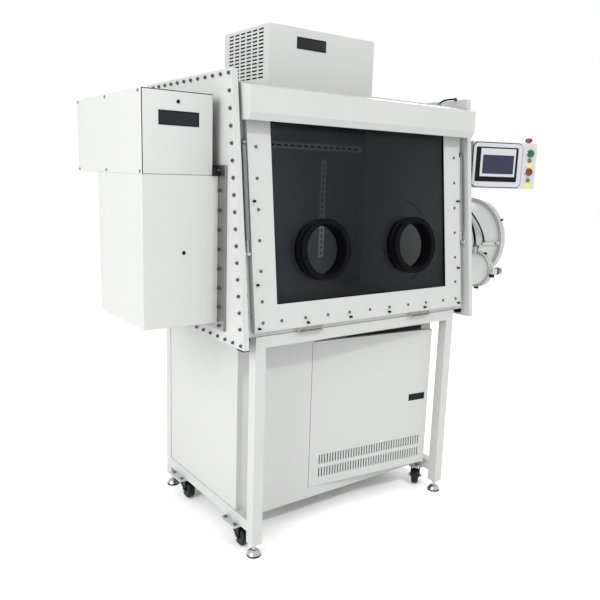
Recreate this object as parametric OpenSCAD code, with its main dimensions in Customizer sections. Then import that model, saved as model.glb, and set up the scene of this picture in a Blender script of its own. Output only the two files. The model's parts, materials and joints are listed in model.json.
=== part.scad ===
// Laboratory glove box on a wheeled stand: sloping hinged window, freezer, control box and two antechambers

/* [Stand] */
// Width of the stand across the legs
stand_width = 1104; // [1080:1:1110]
// Depth of the stand and of the chamber flanges
stand_depth = 796; // [780:1:820]
// Height of the top face of the stand
stand_height = 920; // [900:1:940]
// Side of the square tube
tube = 46; // [42:1:48]
// Wall of the square tube
tube_wall = 3; // [2:0.5:4]
// Height of the lower ends of the legs
leg_bottom = 53; // [50:1:58]
// Height of the underside of the lower rails
rail_bottom = 102; // [98:1:106]

/* [Casters and feet] */
// Distance of the front casters behind the stand front
caster_front = 150; // [140:1:170]
// Distance of the rear casters behind the stand front
caster_rear = 640; // [600:1:660]
// Side of the square caster plate
caster_plate = 110; // [96:1:116]
// Thickness of the caster plate
plate_t = 6; // [5:0.5:8]
// Wheel diameter
wheel_d = 75; // [66:1:77]
// Wheel width
wheel_w = 34; // [28:1:36]
// Distance from the swivel pin to the axle
trail = 34; // [28:1:36]
// Swivel of the front right caster as it stands, in degrees
caster_turn = -50; // [-55:1:90]
// Diameter of the fork head
fork_d = 84; // [76:1:90]
// Height of the wheels above the floor while the feet carry the load
wheel_lift = 2; // [1:0.5:5]
// Swivel pin diameter
swivel_d = 16; // [12:1:18]
// Axle diameter
axle_d = 10; // [8:1:12]
// Thickness of a fork cheek
cheek_t = 4.5; // [3:0.5:6]
// Diameter of the levelling foot
foot_d = 58; // [50:1:62]
// Diameter of the threaded stem
stem_d = 12; // [10:1:16]

/* [Cabinet] */
// Distance of the cabinet front behind the stand front
cabinet_front = 136; // [120:1:150]
// Sheet thickness of the cabinet
sheet = 3; // [2:0.5:4]
// Left edge of the door from the middle of the stand
door_left = -173.5; // [-200:0.5:-150]
// Door width
door_w = 654; // [630:1:665]
// Door thickness
door_t = 16; // [14:1:20]
// Height of the door's top edge
door_top = 823; // [800:1:835]
// Angle at which the door stands ajar
door_ajar = 7.1; // [0:0.1:12]
// Gap around the door
door_gap = 3.5; // [2.5:0.5:5]
// Number of vent slots in a row
vent_count = 40; // [30:1:42]
// Pitch of the vent slots
vent_pitch = 14.3; // [12:0.1:15]
// Latch paddle length
latch_w = 93; // [80:1:100]
// Latch paddle height
latch_h = 33; // [26:1:38]

/* [Purifier and blower] */
// Distance of the purifier column inside the left cabinet side
purifier_in = 249; // [240:1:260]
// Distance of the purifier and blower axes behind the cabinet front
plant_y = 324; // [310:1:340]
// Radius of the purifier column
purifier_r = 100; // [90:1:105]
// Height of the purifier column
purifier_h = 450; // [400:1:480]
// Diameter of the gas pipes
pipe_d = 40; // [30:1:44]
// Distance of the blower outlet inside the right cabinet side
blower_in = 449; // [440:1:460]
// Diameter of the blower scroll
blower_d = 240; // [220:1:250]
// Width of the blower scroll
blower_w = 100; // [90:1:110]
// Diameter of the blower motor
motor_d = 150; // [130:1:160]
// Length of the blower motor
motor_l = 190; // [170:1:200]

/* [Chamber] */
// Height of the chamber shell
chamber_height = 935; // [925:1:960]
// Shell thickness
wall = 5; // [4:0.5:6]
// Thickness of one flange plate
flange_t = 12; // [10:0.5:14]
// Width of the flange lip outside the shell
flange_lip = 32; // [30:1:36]
// Distance of the flange edge in front of the window face
flange_front = 18.7; // [12:0.1:24]
// Distance of the bolts inside the flange edge
bolt_inset = 16; // [14:0.5:18]
// Width of a hex bolt head over its corners
bolt_d = 13.5; // [12:0.5:16]
// Height of a hex bolt head
bolt_h = 7; // [6:0.5:8]

// Height of the slotted back rail above the chamber floor
rail_up = 730; // [710:1:750]
// Width of the slotted rails
rail_w = 34; // [28:1:40]
// Thickness of the slotted rails
rail_t = 6; // [4:0.5:8]
// Distance of the slotted uprights from the middle
upright_x = 330; // [300:1:340]
// Height of the uprights' lower ends above the chamber floor
upright_up = 168; // [150:1:180]
// Length of the uprights
upright_h = 517; // [490:1:530]

/* [Window] */
// Slope of the window from the vertical
front_tilt = 6.4; // [5:0.1:7]
// Distance of the window's lower edge in front of the stand front
window_y = -22.9; // [-30:0.1:-18]
// Height of the window's lower edge above the stand
window_rise = 22.7; // [18:0.1:30]
// Window frame width
window_w = 1141; // [1120:1:1146]
// Window frame height along the slope
window_h = 806; // [800:1:812]
// Window frame thickness
window_t = 20; // [18:1:22]
// Thickness of the frame in front of the glass
frame_lip = 8; // [6:0.5:9]
// Thickness of the glass
glass_t = 10; // [8:0.5:11]
// Width of the frame's sides over the glass
frame_side = 102.5; // [90:0.5:110]
// Width of the frame's lower member over the glass
frame_low = 98.8; // [90:0.1:104]
// Width of the frame's upper member over the glass
frame_high = 27; // [25:0.5:30]
// Thickness of the seal between frame and chamber
seal_t = 6; // [5:0.5:8]
// Distance of the glove ports from the middle
port_x = 244.4; // [235:0.1:255]
// Height of the glove ports above the window's lower edge, along the slope
port_z = 296.6; // [280:0.1:310]
// Outer radius of a glove-port ring
port_r = 121.5; // [115:0.5:125]
// Inner radius of a glove-port ring
port_in = 98; // [92:0.5:100]
// Distance a glove-port ring stands out of the glass
port_out = 47.6; // [40:0.1:55]
// Distance of the screw columns inside the window frame's sides
screw_in = 35.5; // [30:0.5:40]
// Diameter of a window screw's head
screw_d = 12; // [10:0.5:14]
// Distance of the pull handles from the middle
handle_x = 306; // [290:1:320]
// Handle width
handle_w = 124; // [110:1:130]
// Width of the strip between the window frame and a flange
strip_w = 39.5; // [38:0.5:44]
// Distance of the strut axes outside the window frame
strut_out = 14; // [13.5:0.5:16]
// Outer diameter of a strut cylinder
strut_d = 22; // [18:1:24]
// Diameter of a strut rod
rod_d = 10; // [8:1:12]
// Height of the lower strut joint along the slope
strut_low = 296; // [285:1:310]
// Height of the upper strut joint along the slope
strut_high = 700.7; // [690:0.1:710]

/* [Hood] */
// Distance the hood reaches past the window frame at each end
hood_over = 24; // [22:0.5:28]
// Front face of the hood behind the stand front
hood_y = -5; // [-10:0.5:0]
// Height of the hood's lower lip
hood_low = 1712; // [1706:1:1718]
// Height of the hood's front face
hood_h = 90; // [80:1:95]
// Height of the slanted lip below the hood's face
hood_lip = 26; // [22:1:30]
// Depth of the slanted lip
hood_under = 15; // [10:1:20]
// Rise of the hood's roof behind its face
hood_rise = 21; // [18:1:24]

/* [Freezer and control box] */
// Reach of the boxes beyond the left side panel
box_reach = 308; // [290:1:320]
// Front faces of the boxes behind the stand front
box_front = 131; // [126:1:140]
// Freezer depth
freezer_d = 434; // [420:1:445]
// Freezer height
freezer_h = 551; // [540:1:560]
// Height of the freezer's underside
freezer_z = 962; // [955:1:970]
// Insulation thickness of the freezer
freezer_wall = 40; // [35:1:45]
// Width of the freezer flange beyond the box
freezer_lip = 48; // [44:1:50]
// Width of the control box
control_w = 272; // [260:1:280]
// Depth of the control box
control_d = 663; // [640:1:670]
// Height of the control box
control_h = 286; // [270:1:300]

/* [Cooling unit] */
// Left face of the cooling unit from the middle of the stand
cooler_left = -379; // [-400:1:-350]
// Width of the cooling unit
cooler_w = 544; // [520:1:560]
// Front face of the cooling unit behind the stand front
cooler_y = 221; // [205:1:240]
// Depth of the cooling unit
cooler_d = 342; // [330:1:360]
// Height of the cooling unit
cooler_h = 243; // [230:1:255]

/* [Antechambers] */
// Outer radius of the large tube
large_r = 208; // [200:1:212]
// Length of the large antechamber outside the chamber
large_length = 556; // [500:1:600]
// Distance of the large axis behind the stand front
large_y = 465; // [460:1:480]
// Height of the large axis
large_z = 1195; // [1190:1:1215]
// Radius of the large outer door
large_door_r = 230; // [228:1:236]
// Outer radius of the small tube
small_r = 80; // [74:1:82]
// Length of the small antechamber outside the chamber
small_length = 258; // [240:1:270]
// Distance of the small axis behind the stand front
small_y = 160; // [156:1:164]
// Height of the small axis
small_z = 1074; // [1068:1:1078]
// Radius of the small outer door
small_door_r = 92; // [90:1:94]
// Wall of the antechamber tubes
ante_wall = 4; // [3:0.5:5]
// Thickness of the antechamber doors
ante_door_t = 16; // [14:1:18]
// Radius of the handwheel rim
handwheel_r = 90; // [80:1:100]

/* [Hoses] */
// Diameter of the gas hose to the small antechamber
hose_d = 12; // [9:1:14]
// Diameter of the gas line to the large antechamber and of the roof cable
line_d = 8; // [6:1:9]
// Length of the roof above which the cable lies
cable_l = 112; // [100:1:130]
// Height of the cable over the roof
cable_rise = 24; // [20:1:28]
// Distance of the cable behind the stand front
cable_y = 130; // [126:1:150]
// Height above the small tube's axis at which the gas hose leaves the wall
hose_rise = 346; // [330:1:360]
// Height above the large tube's axis at which the gas line leaves the wall
line_rise = 275; // [260:1:285]
// Diameter of the hose fitting on the small tube
fitting_d = 22; // [18:1:26]

/* [Operating panel] */
// Distance of the panel box's left front edge from the right side panel
panel_gap = 26; // [24:1:36]
// Left front edge of the panel box behind the stand front
panel_y = 49; // [45:1:55]
// Height of the panel's underside
panel_z = 1490; // [1470:1:1500]
// Panel box width
panel_w = 345; // [335:1:360]
// Panel box height
panel_h = 215; // [205:1:225]
// Panel box depth
panel_d = 70; // [65:1:75]
// Angle by which the panel is turned to the operator
panel_yaw = 20; // [15:0.5:22]
// Bezel width
bezel_w = 262; // [250:1:268]
// Bezel height
bezel_h = 203; // [196:1:204]
// Button diameter
button_d = 34; // [28:1:36]

/* [Hidden] */
$fn = 64;
// Radial clearance of a running pin
run = 0.05;
// Clearance between moving faces
slack = 0.4;
// Gap between neighbouring sheets of one piece
seam = 0.2;
white = [0.93, 0.94, 0.93];
black = [0.05, 0.05, 0.06];
steel = [0.72, 0.73, 0.75];

leg_x = (stand_width - tube) / 2;
rail_top = rail_bottom + tube;
leg_plug = 20;
foot_stem = 60;

caster_z = rail_bottom - plate_t;
fork_top = caster_z - slack;
fork_head = 12;
axle_z = wheel_lift + wheel_d / 2;
cheek_in = wheel_w / 2 + 1.5;

door_bottom = rail_top + sheet + 1;
door_h = door_top - door_bottom;
pivot_in = 6;
pivot_d = 8;
pivot_x = door_left + pivot_in;
pivot_y = cabinet_front + pivot_in;
vent_h = 44;
vent_w = 6;
vent_low = 62;
vent_row = 62;
vent_in = 50;
latch_in = 540;
latch_z = 344;
latch_pocket = 12;
latch_t = 7;
latch_pin = 4;
latch_swing = 2;
cabinet_x = stand_width / 2 - sheet;

chamber_length = window_w + 2 * strip_w;
half = chamber_length / 2;
strut_x = window_w / 2 + strut_out;
hood_w = window_w + 2 * hood_over;
panel_in = half + flange_t;
panel_out = panel_in + flange_t;
box_left = -panel_out - box_reach;
panel_x = panel_out + panel_gap;
chamber_top = stand_height + chamber_height;
chamber_back = stand_depth - flange_lip;
window_z = stand_height + window_rise;
front_set = window_t + seal_t;
hinge_out = 9;
hinge_drop = 6;
hinge_rise = 34;
hinge_d = 8;
knuckle_d = 16;
knuckle_w = 50;
hinge_x = 380;
hinge_z = window_h - hinge_drop;
glass_lap = 22.5;
glass_top_lap = 8;
glass_z = frame_low - glass_lap;
glass_h = window_h - frame_high + glass_top_lap - glass_z;
glass_w = window_w - 2 * frame_side + 2 * glass_lap;
seal_w = 14;
seal_side = glass_w / 2 + 8;
seal_z = glass_z - 8;
seal_h = window_h - seal_z - 2;
strut_in = 6;
eye_r = 9;
eye_w = 13;
rod_length = 300;
cylinder_low = strut_low + 48;
screw_x = window_w / 2 - screw_in;
screw_z = 35.3;
screw_pitch = screw_x / 4.755;
column_pitch = (strut_high - port_z) * 0.281;

freezer_right = -panel_out - flange_t;
freezer_top = freezer_z + freezer_h;
freezer_back = box_front + freezer_d;
ice_t = 25;
ice_lap = 20;
ice_x = -panel_in + 0.5;
ice_edge = freezer_back - freezer_wall + ice_lap;
ice_low = freezer_z + freezer_wall - ice_lap;
ice_h = freezer_h - 2 * freezer_wall + 2 * ice_lap;
ice_axis_x = ice_x + 18;
ice_axis_y = ice_edge + 12;

display_t = 2;
gasket = 2;
flange_ring = 14;
large_end = panel_out + large_length;
large_axis_x = large_end + gasket + 8;
large_axis_y = large_y + large_door_r + 16;
spindle_out = 50;
bar_l = 140;
bar_t = 14;
rim_r = 10;
wheel_plane = large_end + gasket + ante_door_t + spindle_out;
small_end = panel_out + small_length;
small_axis_x = small_end + gasket + 8;
small_axis_y = small_y + small_door_r + 12;
fitting_x = small_end - 26;
fitting_top = small_z + small_r + 36;
line_y = large_y - large_r - bar_t / 2 + 2;
line_x = large_end - flange_ring - bar_l + 16;
lid_x = panel_in - 0.5;
lid_t = 18;
lid_axis_x = lid_x - lid_t - 3;
large_lid_r = large_r + 9;
small_lid_r = small_r + 12;
large_lid_axis = large_y + large_lid_r + 14;
small_lid_axis = small_y - small_lid_r - 11;

pivot_u = 14;
pivot_w = panel_d + 26;
arm_h = 80;
arm_z = panel_z + (panel_h - arm_h) / 2;
swivel_x = panel_x + pivot_u * cos(panel_yaw) + pivot_w * sin(panel_yaw);
swivel_y = panel_y - pivot_u * sin(panel_yaw) + pivot_w * cos(panel_yaw);
bezel_t = 6;
screen_in = 25;
screen_edge = 14;
strip_u = panel_w - 37;
start_z = 168;
stop_z = 81;
stop_u = panel_w - 26;

button_out = 10;
left_reach = box_left;
right_reach = wheel_plane + rim_r;
corner_reach = panel_y - panel_w * sin(panel_yaw);
button_reach = panel_y - (strip_u + button_d / 2) * sin(panel_yaw) - button_out * cos(panel_yaw);
front_reach = min(corner_reach, button_reach);
back_reach = max(stand_depth, stand_depth + (foot_d - tube) / 2);
mid_x = (left_reach + right_reach) / 2;
mid_y = (front_reach + back_reach) / 2;

function front_y(z, d) = window_y + (z - window_z) * tan(front_tilt) + d / cos(front_tilt);

function outline(i) = [
  [front_y(stand_height - flange_lip + i, i - flange_front), stand_height - flange_lip + i],
  [stand_depth - i, stand_height - flange_lip + i],
  [stand_depth - i, chamber_top + flange_lip - i],
  [front_y(chamber_top + flange_lip - i, i - flange_front), chamber_top + flange_lip - i]
];

function mix(a, b, k) = a + (b - a) * k;

function curve(c, t) =
  c[0] * pow(1 - t, 3) + 3 * c[1] * t * pow(1 - t, 2) + 3 * c[2] * t * t * (1 - t) + c[3] * pow(t, 3);

function heading(c, t) =
  mix(mix(c[1] - c[0], c[2] - c[1], t), mix(c[2] - c[1], c[3] - c[2], t), t);

module placed() translate([-mid_x, -mid_y, 0]) children();

module tilted() translate([0, window_y, window_z]) rotate([-front_tilt, 0, 0]) children();

module on_side(x, t) translate([x, 0, 0]) rotate([90, 0, 90]) linear_extrude(t) children();

module along_x(x, y, z, d, l) translate([x, y, z]) rotate([0, 90, 0]) cylinder(d = d, h = l);

module bar_x(y, z) {
  difference() {
    translate([-leg_x + tube / 2, y, z]) cube([2 * leg_x - tube, tube, tube]);
    translate([-leg_x, y + tube_wall, z + tube_wall])
      cube([2 * leg_x, tube - 2 * tube_wall, tube - 2 * tube_wall]);
  }
}

module bar_y(x, z) {
  difference() {
    translate([x, tube, z]) cube([tube, stand_depth - 2 * tube, tube]);
    translate([x + tube_wall, 0, z + tube_wall])
      cube([tube - 2 * tube_wall, stand_depth, tube - 2 * tube_wall]);
  }
}

module stand_legs() {
  color(white) placed() {
    for (sx = [-1, 1], y = [tube / 2, stand_depth - tube / 2]) {
      translate([sx * leg_x, y, leg_bottom]) difference() {
        translate([-tube / 2, -tube / 2, 0]) cube([tube, tube, stand_height - leg_bottom]);
        translate([tube_wall - tube / 2, tube_wall - tube / 2, leg_plug])
          cube([tube - 2 * tube_wall, tube - 2 * tube_wall, stand_height]);
        translate([0, 0, -1]) cylinder(d = stem_d + 2 * run, h = leg_plug + 2);
      }
    }
  }
}

module stand_rails() {
  top = stand_height - tube;
  color(white) placed() {
    difference() {
      union() {
        for (y = [0, stand_depth - tube]) bar_x(y, top);
        for (x = [-stand_width / 2, stand_width / 2 - tube], z = [rail_bottom, top]) bar_y(x, z);
        bar_x(cabinet_front, rail_bottom);
        bar_x(stand_depth - tube, rail_bottom);
      }
      translate([pivot_x, pivot_y, rail_top - tube_wall - 1])
        cylinder(d = pivot_d + 2 * run, h = tube_wall + 2);
    }
  }
}

module caster_plates() {
  reach = caster_plate / 2 - 16;
  color(white) placed() {
    for (sx = [-1, 1], y = [caster_front, caster_rear]) {
      translate([sx * leg_x, y, caster_z]) {
        difference() {
          translate([-caster_plate / 2, -caster_plate / 2, 0]) cube([caster_plate, caster_plate, plate_t]);
          translate([0, 0, -1]) cylinder(d = swivel_d + 2 * run, h = plate_t + 2);
        }
        for (bx = [-reach, reach], by = [-reach, reach])
          translate([bx, by, 1]) cylinder(d = 14, h = plate_t + 5, $fn = 6);
      }
    }
  }
}

module caster_fork(sx, y, turn = 0) {
  color(black) placed() translate([sx * leg_x, y, 0]) rotate([0, 0, turn]) {
    translate([0, 0, fork_top - fork_head]) cylinder(d = fork_d, h = fork_head);
    translate([0, 0, fork_top - 1]) cylinder(d = swivel_d, h = plate_t);
    for (x = [-cheek_in - cheek_t, cheek_in]) {
      on_side(x, cheek_t) polygon([
        [-fork_d / 2, fork_top - 1], [fork_d / 3, fork_top - 1], [fork_d / 3, fork_top - fork_head - 8],
        [eye_r - trail, axle_z], [-eye_r - trail, axle_z], [-eye_r - trail, fork_top - fork_head - 12]
      ]);
      along_x(x, -trail, axle_z, 2 * eye_r, cheek_t);
    }
    along_x(-cheek_in - cheek_t - 3, -trail, axle_z, axle_d, 2 * (cheek_in + cheek_t + 3));
  }
}

module caster_fork_fl() caster_fork(-1, caster_front);
module caster_fork_fr() caster_fork(1, caster_front, caster_turn);
module caster_fork_rl() caster_fork(-1, caster_rear);
module caster_fork_rr() caster_fork(1, caster_rear);

module caster_wheel(sx, y, turn = 0) {
  bore = axle_d / 2 + run;
  color(black) placed()
    translate([sx * leg_x, y, axle_z]) rotate([0, 0, turn]) translate([0, -trail, 0]) rotate([0, 90, 0])
    rotate_extrude() polygon([
      [bore, -wheel_w / 2], [wheel_d / 2 - 6, -wheel_w / 2], [wheel_d / 2, -wheel_w / 2 + 5],
      [wheel_d / 2, wheel_w / 2 - 5], [wheel_d / 2 - 6, wheel_w / 2], [bore, wheel_w / 2]
    ]);
}

module caster_wheel_fl() caster_wheel(-1, caster_front);
module caster_wheel_fr() caster_wheel(1, caster_front, caster_turn);
module caster_wheel_rl() caster_wheel(-1, caster_rear);
module caster_wheel_rr() caster_wheel(1, caster_rear);

module levelling_foot(sx, y) {
  r = foot_d / 2;
  color(steel) placed() translate([sx * leg_x, y, 0]) {
    rotate_extrude() polygon([
      [0, 0], [r, 0], [r, 8], [r - 2, 12], [r - 6, 19], [r - 14, 26], [stem_d / 2 + 3, 29],
      [stem_d / 2 + 3, 33], [stem_d / 2, 33], [stem_d / 2, leg_bottom + foot_stem],
      [0, leg_bottom + foot_stem]
    ]);
    translate([0, 0, leg_bottom - 16]) cylinder(d = stem_d * 1.9, h = 10, $fn = 6);
  }
}

module levelling_foot_fl() levelling_foot(-1, tube / 2);
module levelling_foot_fr() levelling_foot(1, tube / 2);
module levelling_foot_rl() levelling_foot(-1, stand_depth - tube / 2);
module levelling_foot_rr() levelling_foot(1, stand_depth - tube / 2);

module cabinet_panels() {
  low = rail_top + seam;
  high = stand_height - tube - seam;
  back = stand_depth - tube - seam;
  inner = cabinet_x - sheet - seam;
  door_right = door_left + door_w + door_gap;
  front_in = cabinet_front + sheet + seam;
  color(white) placed() {
    for (x = [-cabinet_x, cabinet_x - sheet])
      translate([x, front_in, low]) cube([sheet, back - front_in, high - low]);
    translate([-inner, back - sheet, low]) cube([2 * inner, sheet, high - low]);
    difference() {
      translate([-inner, cabinet_front, rail_top])
        cube([2 * inner, back - sheet - seam - cabinet_front, sheet]);
      translate([pivot_x, pivot_y, rail_top - 1]) cylinder(d = pivot_d + 2 * run, h = sheet + 2);
    }
    translate([-cabinet_x, cabinet_front, rail_top + sheet + seam])
      cube([cabinet_x + door_left - door_gap, sheet, high - rail_top - sheet - seam]);
    translate([door_right, cabinet_front, rail_top + sheet + seam])
      cube([cabinet_x - door_right, sheet, high - rail_top - sheet - seam]);
    difference() {
      union() {
        translate([door_left - door_gap + seam, cabinet_front, door_top + door_gap])
          cube([door_w + 2 * door_gap - 2 * seam, sheet, high - door_top - door_gap]);
        translate([door_left - door_gap + seam, cabinet_front, door_top + door_gap]) cube([24, 22, 12]);
      }
      translate([pivot_x, pivot_y, door_top]) cylinder(d = pivot_d + 2 * run, h = 30);
    }
  }
}

module on_door() {
  translate([pivot_x, pivot_y, 0]) rotate([0, 0, -door_ajar])
    translate([-pivot_in, -pivot_in, door_bottom]) children();
}

module cabinet_door() {
  color(white) placed() on_door() {
    difference() {
      cube([door_w, door_t, door_h]);
      for (row = [0, 1], i = [0 : vent_count - 1])
        translate([vent_in + i * vent_pitch, -1, vent_low - 24 + row * vent_row])
          cube([vent_w, door_t + 2, vent_h]);
      translate([latch_in - latch_swing, -1, latch_z - latch_h / 2 - slack])
        cube([latch_w + latch_swing + slack, latch_pocket + 1, latch_h + 2 * slack]);
      translate([latch_in + 6, 4, latch_z - latch_h / 2 - 5])
        cylinder(d = latch_pin + 2 * run, h = latch_h + 10);
    }
    translate([pivot_in, pivot_in, door_h - 1]) cylinder(d = pivot_d, h = door_gap + 11);
    translate([pivot_in, pivot_in, -6]) cylinder(d = pivot_d, h = 7);
  }
}

module door_latch() {
  color(black) placed() on_door() {
    translate([latch_in, 0.5, latch_z - latch_h / 2]) cube([latch_w, latch_t, latch_h]);
    translate([latch_in + 6, 4, latch_z - latch_h / 2 - 4]) cylinder(d = latch_pin, h = latch_h + 8);
  }
}

module purifier_column() {
  r = purifier_r;
  h = purifier_h;
  rise = stand_height - rail_top - sheet;
  color(steel) placed() translate([purifier_in - cabinet_x, cabinet_front + plant_y, rail_top + sheet])
    rotate_extrude() polygon([
      [0, 0], [r * 1.25, 0], [r * 1.25, r / 10], [r, r / 10], [r, h - r / 5], [r * 1.18, h - r / 5],
      [r * 1.18, h], [r * 0.8, h + r * 0.3], [pipe_d / 2, h + r * 0.42], [pipe_d / 2, rise], [0, rise]
    ]);
}

module circulation_blower() {
  rise = stand_height - rail_top - sheet;
  axle = blower_d / 2 + 30;
  color([0.55, 0.58, 0.6]) placed()
    translate([cabinet_x - blower_in, cabinet_front + plant_y, rail_top + sheet]) {
      translate([-blower_w / 2, -blower_d / 2, 0]) cube([blower_w + motor_l, blower_d, 10]);
      along_x(-blower_w / 2, 0, axle, blower_d, blower_w);
      along_x(blower_w / 2 - 1, 0, axle, motor_d, motor_l);
      translate([-blower_w / 4, -motor_d / 2, 9]) cube([blower_w + motor_l / 2, motor_d, axle - motor_d / 4]);
      translate([0, blower_d / 2 - pipe_d, axle]) cylinder(d = pipe_d, h = rise - axle);
    }
}

module chamber_shell() {
  low = stand_height;
  color(white) placed() on_side(-half, chamber_length) polygon([
    [front_y(low, front_set + wall), low], [chamber_back, low], [chamber_back, chamber_top],
    [front_y(chamber_top, front_set + wall), chamber_top],
    [front_y(chamber_top - wall, front_set + wall), chamber_top - wall],
    [chamber_back - wall, chamber_top - wall], [chamber_back - wall, low + wall],
    [front_y(low + wall, front_set + wall), low + wall]
  ]);
}

module end_flanges() {
  low = stand_height + wall;
  high = chamber_top - wall;
  color(white) placed() for (x = [-panel_in, half]) on_side(x, flange_t) difference() {
    polygon(outline(0));
    polygon([
      [front_y(low, front_set + wall), low], [chamber_back - wall, low],
      [chamber_back - wall, high], [front_y(high, front_set + wall), high]
    ]);
  }
}

module hinge_lug(x0, x1, y, z, t) translate([x0, y - 8, z]) cube([x1 - x0, 16, t]);

module left_side_panel() {
  color(white) placed() {
    on_side(-panel_out, flange_t) difference() {
      polygon(outline(0));
      translate([box_front + freezer_wall, freezer_z + freezer_wall])
        square([freezer_d - 2 * freezer_wall, freezer_h - 2 * freezer_wall]);
    }
    for (z = [ice_low + 80, ice_low + ice_h - 120]) {
      hinge_lug(-panel_in - 1, ice_axis_x + 7, ice_axis_y, z, 10);
      translate([ice_axis_x, ice_axis_y, z + 9]) cylinder(d = hinge_d, h = 36);
    }
  }
}

module right_side_panel() {
  color(white) placed() {
    on_side(panel_in, flange_t) difference() {
      polygon(outline(0));
      translate([large_y, large_z]) circle(r = large_r + seam);
      translate([small_y, small_z]) circle(r = small_r + seam);
    }
    for (z = [large_z - 70, large_z + 40]) {
      hinge_lug(lid_axis_x - 7, panel_in + 1, large_lid_axis, z, 10);
      translate([lid_axis_x, large_lid_axis, z + 9]) cylinder(d = hinge_d, h = 30);
    }
    hinge_lug(lid_axis_x - 7, panel_in + 1, small_lid_axis, small_z - 24, 10);
    translate([lid_axis_x, small_lid_axis, small_z - 15]) cylinder(d = hinge_d, h = 36);
  }
}

module hex(x, y, z, s) translate([x, y, z]) rotate([0, 90 * s, 0]) cylinder(d = bolt_d, h = bolt_h, $fn = 6);

module flange_bolts() {
  p = outline(bolt_inset);
  counts = [14, 16, 12, 16];
  color(steel) placed() {
    for (s = [-1, 1], e = [0 : 3], i = [1 : counts[e]])
      let (a = p[e], b = p[(e + 1) % 4], k = i / counts[e])
        hex(s * panel_out, mix(a[0], b[0], k), mix(a[1], b[1], k), s);
    for (y = [box_front - 14, freezer_back + 14], i = [0 : 8])
      hex(freezer_right, y, freezer_z - 10 + i * (freezer_h + 31) / 8, -1);
  }
}

module front_frame() {
  low = (wall - window_rise) / cos(front_tilt);
  color(white) placed() tilted() {
    difference() {
      translate([-half, front_set, low]) cube([chamber_length, wall, chamber_height - 6 - wall]);
      translate([-seal_side + 4, front_set - 1, glass_z - 4])
        cube([2 * seal_side - 8, wall + 2, glass_h + 4]);
    }
    for (s = [-1, 1]) {
      translate([s * (strut_x + 16) - 3.5, strut_in - eye_r, strut_low - eye_r])
        cube([7, front_set - strut_in + eye_r + 1, 2 * eye_r]);
      along_x(min(s * (strut_x - 7), s * (strut_x + 13)), strut_in, strut_low, hinge_d, 20);
    }
  }
}

module window_hinges() {
  cheek = 6;
  eye = knuckle_d / 2;
  gap = knuckle_w / 2 + slack;
  color(white) placed() tilted() for (s = [-1, 1]) translate([s * hinge_x, 0, 0]) {
    for (x = [-gap - cheek, gap]) on_side(x, cheek) polygon([
      [-hinge_out - eye, hinge_z - eye], [-hinge_out, hinge_z - eye], [-1, hinge_z],
      [-1, hinge_z + hinge_drop + 2], [front_set, hinge_z + hinge_drop + 2],
      [front_set, hinge_z + hinge_rise], [-1, hinge_z + hinge_rise], [-hinge_out - eye, hinge_z + eye]
    ]);
    along_x(-gap - 1, -hinge_out, hinge_z, hinge_d, 2 * gap + 2);
  }
}

module window_frame() {
  color(white) placed() tilted() difference() {
    union() {
      translate([-window_w / 2, 0, 0]) cube([window_w, window_t, window_h]);
      for (s = [-1, 1]) translate([s * hinge_x - knuckle_w / 2, 0, 0]) {
        along_x(0, -hinge_out, hinge_z, knuckle_d, knuckle_w);
        translate([0, -hinge_out, hinge_z - 5]) cube([knuckle_w, hinge_out + 1, 10]);
      }
    }
    translate([frame_side - window_w / 2, -1, frame_low])
      cube([window_w - 2 * frame_side, window_t + 2, window_h - frame_low - frame_high]);
    translate([-glass_w / 2 - seam, frame_lip, glass_z - seam])
      cube([glass_w + 2 * seam, window_t, glass_h + 2 * seam]);
    for (s = [-1, 1])
      along_x(s * hinge_x - knuckle_w, -hinge_out, hinge_z, hinge_d + 2 * run, 2 * knuckle_w);
  }
}

module window_glass() {
  color([0.2, 0.23, 0.24, 0.6]) placed() tilted() difference() {
    translate([-glass_w / 2, frame_lip, glass_z]) cube([glass_w, glass_t, glass_h]);
    for (s = [-1, 1]) translate([s * port_x, frame_lip + glass_t + 1, port_z]) rotate([90, 0, 0])
      cylinder(r = port_in + 10, h = glass_t + 2);
  }
}

module window_seal() {
  color(black) placed() tilted() difference() {
    translate([-seal_side - seal_w, window_t, seal_z - seal_w])
      cube([2 * seal_side + 2 * seal_w, seal_t - slack, seal_h + seal_w]);
    translate([-seal_side, window_t - 1, seal_z]) cube([2 * seal_side, seal_t + 2, seal_h - seal_w]);
  }
}

module glove_ports() {
  color(black) placed() tilted() for (s = [-1, 1])
    translate([s * port_x, frame_lip, port_z]) rotate([90, 0, 0]) rotate_extrude() polygon([
      [port_in, -20], [port_in + 18, -20], [port_in + 18, -glass_t], [port_in + 9.7, -glass_t],
      [port_in + 9.7, 0], [port_r, 0], [port_r, 10], [port_r - 7, 13], [port_r - 7, port_out - 14],
      [port_r, port_out - 11], [port_r, port_out - 4], [port_r - 4, port_out], [port_in + 3, port_out],
      [port_in, port_out - 4]
    ]);
}

module window_handles() {
  rod = 9;
  leg = (handle_w - rod) / 2;
  drop = 22;
  color(steel) placed() tilted() for (s = [-1, 1]) translate([s * handle_x, window_t / 2, -drop]) {
    along_x(-leg, 0, 0, rod, 2 * leg);
    for (x = [-leg, leg]) translate([x, 0, 0]) {
      cylinder(d = rod, h = drop);
      sphere(d = rod);
    }
  }
}

module window_screw(x, z) translate([x, 0, z]) rotate([90, 0, 0]) cylinder(d = screw_d, h = 3, $fn = 12);

module window_screws() {
  color(steel) placed() tilted() {
    for (i = [-4 : 4]) window_screw(i * screw_pitch, screw_z);
    for (s = [-1, 1]) {
      window_screw(s * screw_x, screw_z);
      for (i = [0 : 5]) window_screw(s * screw_x, screw_z + 80 + i * column_pitch);
    }
  }
}

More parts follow.
